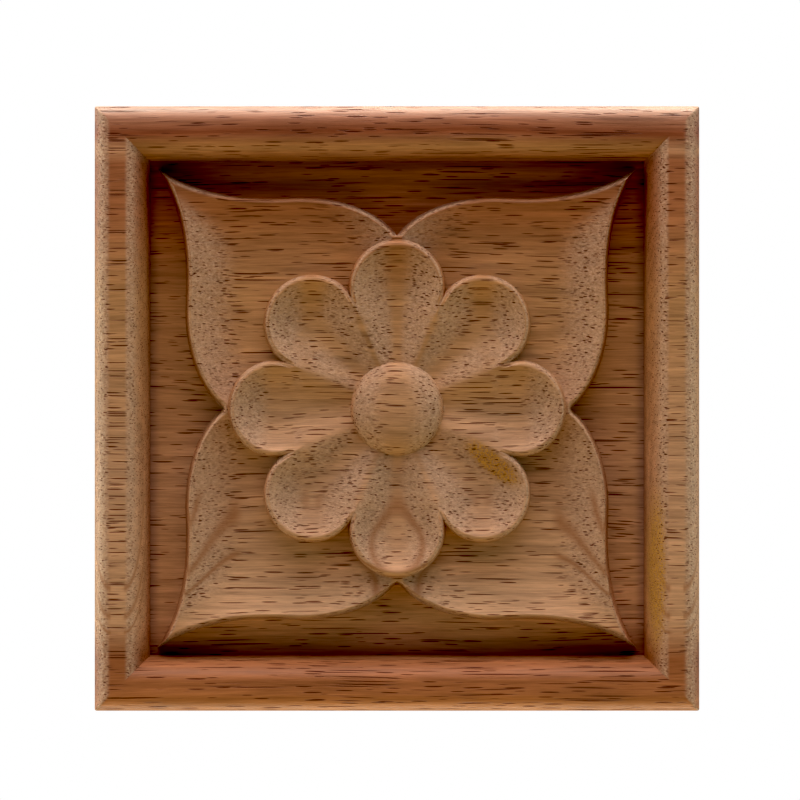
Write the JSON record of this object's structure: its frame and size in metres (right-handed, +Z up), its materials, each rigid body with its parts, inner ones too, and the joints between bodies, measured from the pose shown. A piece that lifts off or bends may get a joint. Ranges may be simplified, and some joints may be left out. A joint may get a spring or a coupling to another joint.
{
  "type": "carved wood corner onlay",
  "caption": "Square carved wood onlay: a rounded moulding frames a sunken field with a daisy-like flower, a domed button and broad corner leaves.",
  "frame": {"origin": "middle of the flat back, in the plane that is glued to the furniture, door or wall", "axes": "+Y out of the flat back, into what carries it, so the carved face looks towards -Y; +Z up along one side of the square; X along the wood's grain"},
  "size_m": [0.1, 0.015, 0.1],
  "materials": {
    "carved_wood": "bare, sanded, open-pored plantation hardwood with a satin sheen"
  },
  "bodies": {
    "root": {"onlay": "carved_wood"}
  },
  "joints": []
}
